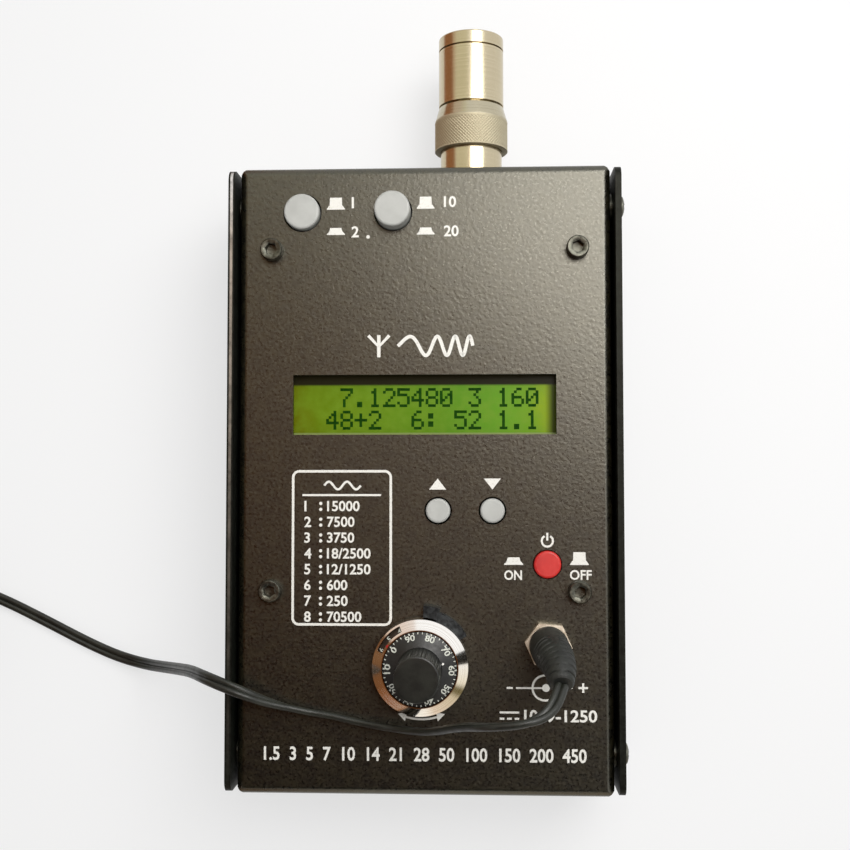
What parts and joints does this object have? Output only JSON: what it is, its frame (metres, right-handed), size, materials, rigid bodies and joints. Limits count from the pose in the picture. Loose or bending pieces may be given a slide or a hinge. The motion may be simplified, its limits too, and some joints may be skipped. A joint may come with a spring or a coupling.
{
  "type": "antenna analyzer",
  "caption": "Handheld antenna analyzer lying on its back: black sheet metal case, text display, push buttons, turns-counting tuning dial, RF socket with a terminator, and a power lead.",
  "frame": {"origin": "middle of the back cover's outer face, on the surface that the case rests on", "axes": "+X to the panel's right, +Y along the case towards the RF socket, +Z out of the front panel"},
  "size_m": [0.2234, 0.2046, 0.0776],
  "materials": {
    "case_black": "fine textured powder coat, semi-matt",
    "black_steel": "black oxide",
    "zinc": "zinc plated",
    "board_green": "solder mask over glass epoxy",
    "chip_black": "moulded epoxy",
    "tin_can": "tinned steel",
    "bezel_black": "satin black",
    "lcd_green": "yellow-green reflective display",
    "light_guide": "diffusing acrylic",
    "coil_red": "coated iron powder with enamelled wire",
    "wire_red": "PVC insulation",
    "switch_black": "moulded",
    "plunger_white": "moulded",
    "cap_grey": "satin moulded cap",
    "cap_red": "satin moulded cap",
    "pot_metal": "nickel plated",
    "shaft_steel": "ground stainless",
    "dial_chrome": "satin chrome",
    "dial_black": "black with white marks",
    "knob_black": "moulded, ribbed grip",
    "nickel": "nickel plated brass",
    "brass": "gold flashed brass",
    "ptfe": "white insulator",
    "plug_rubber": "soft moulding",
    "cord_pvc": "flexible twin PVC"
  },
  "bodies": {
    "case": {"front_cover": "case_black", "back_cover": "case_black", "case_nuts": "black_steel", "side_screws": "black_steel", "front_screws": "black_steel", "standoffs": "zinc", "board_screws": "zinc", "main_board": "board_green", "lcd_board": "board_green", "lcd_bezel": "bezel_black", "lcd_glass": "lcd_green", "lcd_backlight": "light_guide", "lcd_header": "chip_black", "lcd_spacers": "zinc", "lcd_screws": "zinc", "left_band_switch": "switch_black", "right_band_switch": "switch_black", "power_switch": "switch_black", "up_switch": "switch_black", "down_switch": "switch_black", "microcontroller": "chip_black", "oscillator_can": "tin_can", "band_coils": "coil_red", "regulator": "chip_black", "internal_wires": "wire_red", "tuning_pot": "pot_metal", "pot_nut": "pot_metal", "dial_base": "dial_black", "dial_ring": "dial_chrome", "dc_jack": "switch_black", "dc_jack_pin": "brass", "dc_jack_nut": "nickel", "rf_socket": "nickel", "rf_insulator": "ptfe", "rf_contact": "brass", "rf_screws": "black_steel", "dc_plug": "plug_rubber", "dc_plug_sleeve": "nickel", "cord": "cord_pvc", "cord_coil": "cord_pvc", "far_plug": "plug_rubber", "far_plug_sleeve": "nickel"},
    "left_band_key": {"left_band_button": "cap_grey", "left_band_plunger": "plunger_white"},
    "right_band_key": {"right_band_button": "cap_grey", "right_band_plunger": "plunger_white"},
    "power_key": {"power_button": "cap_red", "power_plunger": "plunger_white"},
    "up_key": {"up_button": "cap_grey"},
    "down_key": {"down_button": "cap_grey"},
    "tuning": {"tuning_knob": "knob_black", "dial_skirt": "dial_black", "pot_shaft": "shaft_steel"},
    "counter": {"counter_ring": "dial_black"},
    "lock": {"dial_lock": "knob_black"},
    "load": {"terminator": "nickel", "terminator_cap": "nickel", "load_resistor": "ptfe", "terminator_pin": "brass"},
    "coupling": {"coupling_nut": "nickel"}
  },
  "joints": [
    {"name": "left_band_press", "type": "slide", "parent": "case", "child": "left_band_key", "axis": [0, 0, 1], "range_m": [0, 0.0024]},
    {"name": "right_band_press", "type": "slide", "parent": "case", "child": "right_band_key", "axis": [0, 0, 1], "range_m": [-0.0024, 0], "stiffness_N_per_m": 150, "springref_m": 0.004},
    {"name": "power_press", "type": "slide", "parent": "case", "child": "power_key", "axis": [0, 0, 1], "range_m": [0, 0.0022]},
    {"name": "up_press", "type": "slide", "parent": "case", "child": "up_key", "axis": [0, 0, 1], "range_m": [-0.0004, 0], "stiffness_N_per_m": 500, "springref_m": 0.001},
    {"name": "down_press", "type": "slide", "parent": "case", "child": "down_key", "axis": [0, 0, 1], "range_m": [-0.0004, 0], "stiffness_N_per_m": 500, "springref_m": 0.001},
    {"name": "tuning_turn", "type": "hinge", "parent": "case", "child": "tuning", "pos_m": [-0.0007, -0.0453, 0.0509], "axis": [0, 0, 1], "range_deg": [-1800, 1800]},
    {"name": "counter_turn", "type": "hinge", "parent": "case", "child": "counter", "pos_m": [-0.0007, -0.0453, 0.047], "axis": [0, 0, 1], "range_deg": [-90, 90]},
    {"name": "lock_swing", "type": "hinge", "parent": "case", "child": "lock", "pos_m": [-0.0007, -0.0453, 0.0427], "axis": [0, 0, 1], "range_deg": [0, 22]},
    {"name": "terminator_pull", "type": "slide", "parent": "case", "child": "load", "axis": [0, 1, 0], "range_m": [0, 0.03]},
    {"name": "coupling_turn", "type": "hinge", "parent": "load", "child": "coupling", "pos_m": [0.0116, 0.0896, 0.0221], "axis": [0, 1, 0], "continuous": true}
  ],
  "couplings": [
    {"joint": "counter_turn", "follows": "tuning_turn", "ratio": 0.05}
  ]
}
